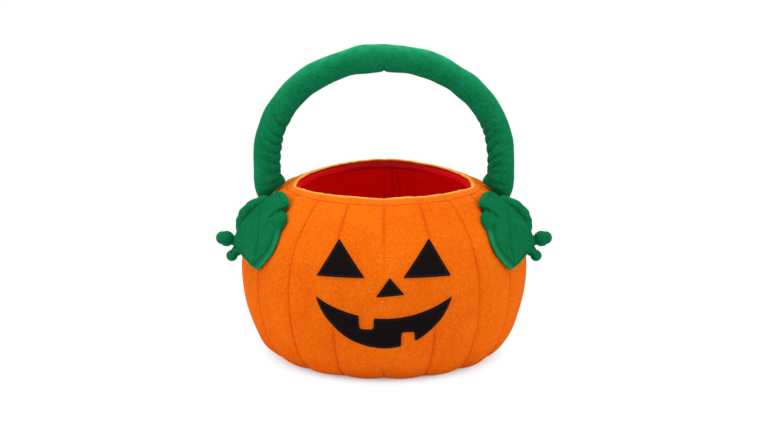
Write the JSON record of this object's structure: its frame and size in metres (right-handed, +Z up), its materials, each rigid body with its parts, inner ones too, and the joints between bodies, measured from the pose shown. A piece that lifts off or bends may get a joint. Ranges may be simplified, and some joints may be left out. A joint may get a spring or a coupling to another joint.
{
  "type": "pumpkin candy pail",
  "caption": "Soft plush pumpkin pail with a felt jack-o'-lantern face, red lining, stuffed swinging handle and padded leaves, for carrying sweets.",
  "frame": {"origin": "on the floor under the middle of the pail's base", "axes": "+Z up, the felt face toward -Y, the handle's arch across X"},
  "size_m": [0.2882, 0.2504, 0.2699],
  "materials": {
    "orange_plush": "short-pile plush",
    "foam": "sewn-in foam sheet",
    "board": "plain grey-brown board",
    "red_lining": "smooth brushed lining",
    "black_felt": "matte felt",
    "green_plush": "short-pile plush",
    "leaf_plush": "short-pile plush, stitched",
    "vine_plush": "short-pile plush",
    "stuffing": "loose polyester fill"
  },
  "bodies": {
    "pail": {"gore_right_1": "orange_plush", "gore_right_2": "orange_plush", "gore_right_3": "orange_plush", "gore_right_4": "orange_plush", "gore_right_5": "orange_plush", "gore_right_6": "orange_plush", "gore_right_7": "orange_plush", "gore_left_1": "orange_plush", "gore_left_2": "orange_plush", "gore_left_3": "orange_plush", "gore_left_4": "orange_plush", "gore_left_5": "orange_plush", "gore_left_6": "orange_plush", "gore_left_7": "orange_plush", "face_panel": "orange_plush", "wall_foam": "foam", "rim_hem": "orange_plush", "lining_facing": "red_lining", "lining_base": "red_lining", "base_panel": "orange_plush", "base_board": "board", "lining_front_left": "red_lining", "lining_front_right": "red_lining", "lining_back_right": "red_lining", "lining_back_left": "red_lining", "eye_left": "black_felt", "eye_right": "black_felt", "nose": "black_felt", "mouth": "black_felt", "vine_left_loop": "vine_plush", "vine_left_knot": "vine_plush", "vine_left_tail": "vine_plush", "vine_right_loop": "vine_plush", "vine_right_knot": "vine_plush", "vine_right_tail": "vine_plush"},
    "handle": {"handle_cover_left": "green_plush", "handle_cover_right": "green_plush", "handle_stuffing": "stuffing"},
    "leaf_left": {"leaf_left_front": "leaf_plush", "leaf_left_batting": "stuffing", "leaf_left_back": "leaf_plush"},
    "leaf_right": {"leaf_right_front": "leaf_plush", "leaf_right_batting": "stuffing", "leaf_right_back": "leaf_plush"}
  },
  "joints": [
    {"name": "handle_swing", "type": "hinge", "parent": "pail", "child": "handle", "pos_m": [0, 0, 0.15106], "axis": [1, 0, 0], "range_deg": [-90, 60]},
    {"name": "leaf_left_lift", "type": "hinge", "parent": "pail", "child": "leaf_left", "pos_m": [-0.0823, -0.03321, 0.14793], "axis": [-0.5736, 0.8191, 0], "range_deg": [0, 40]},
    {"name": "leaf_right_lift", "type": "hinge", "parent": "pail", "child": "leaf_right", "pos_m": [0.0823, -0.03321, 0.14793], "axis": [-0.5736, -0.8191, 0], "range_deg": [0, 40]}
  ]
}
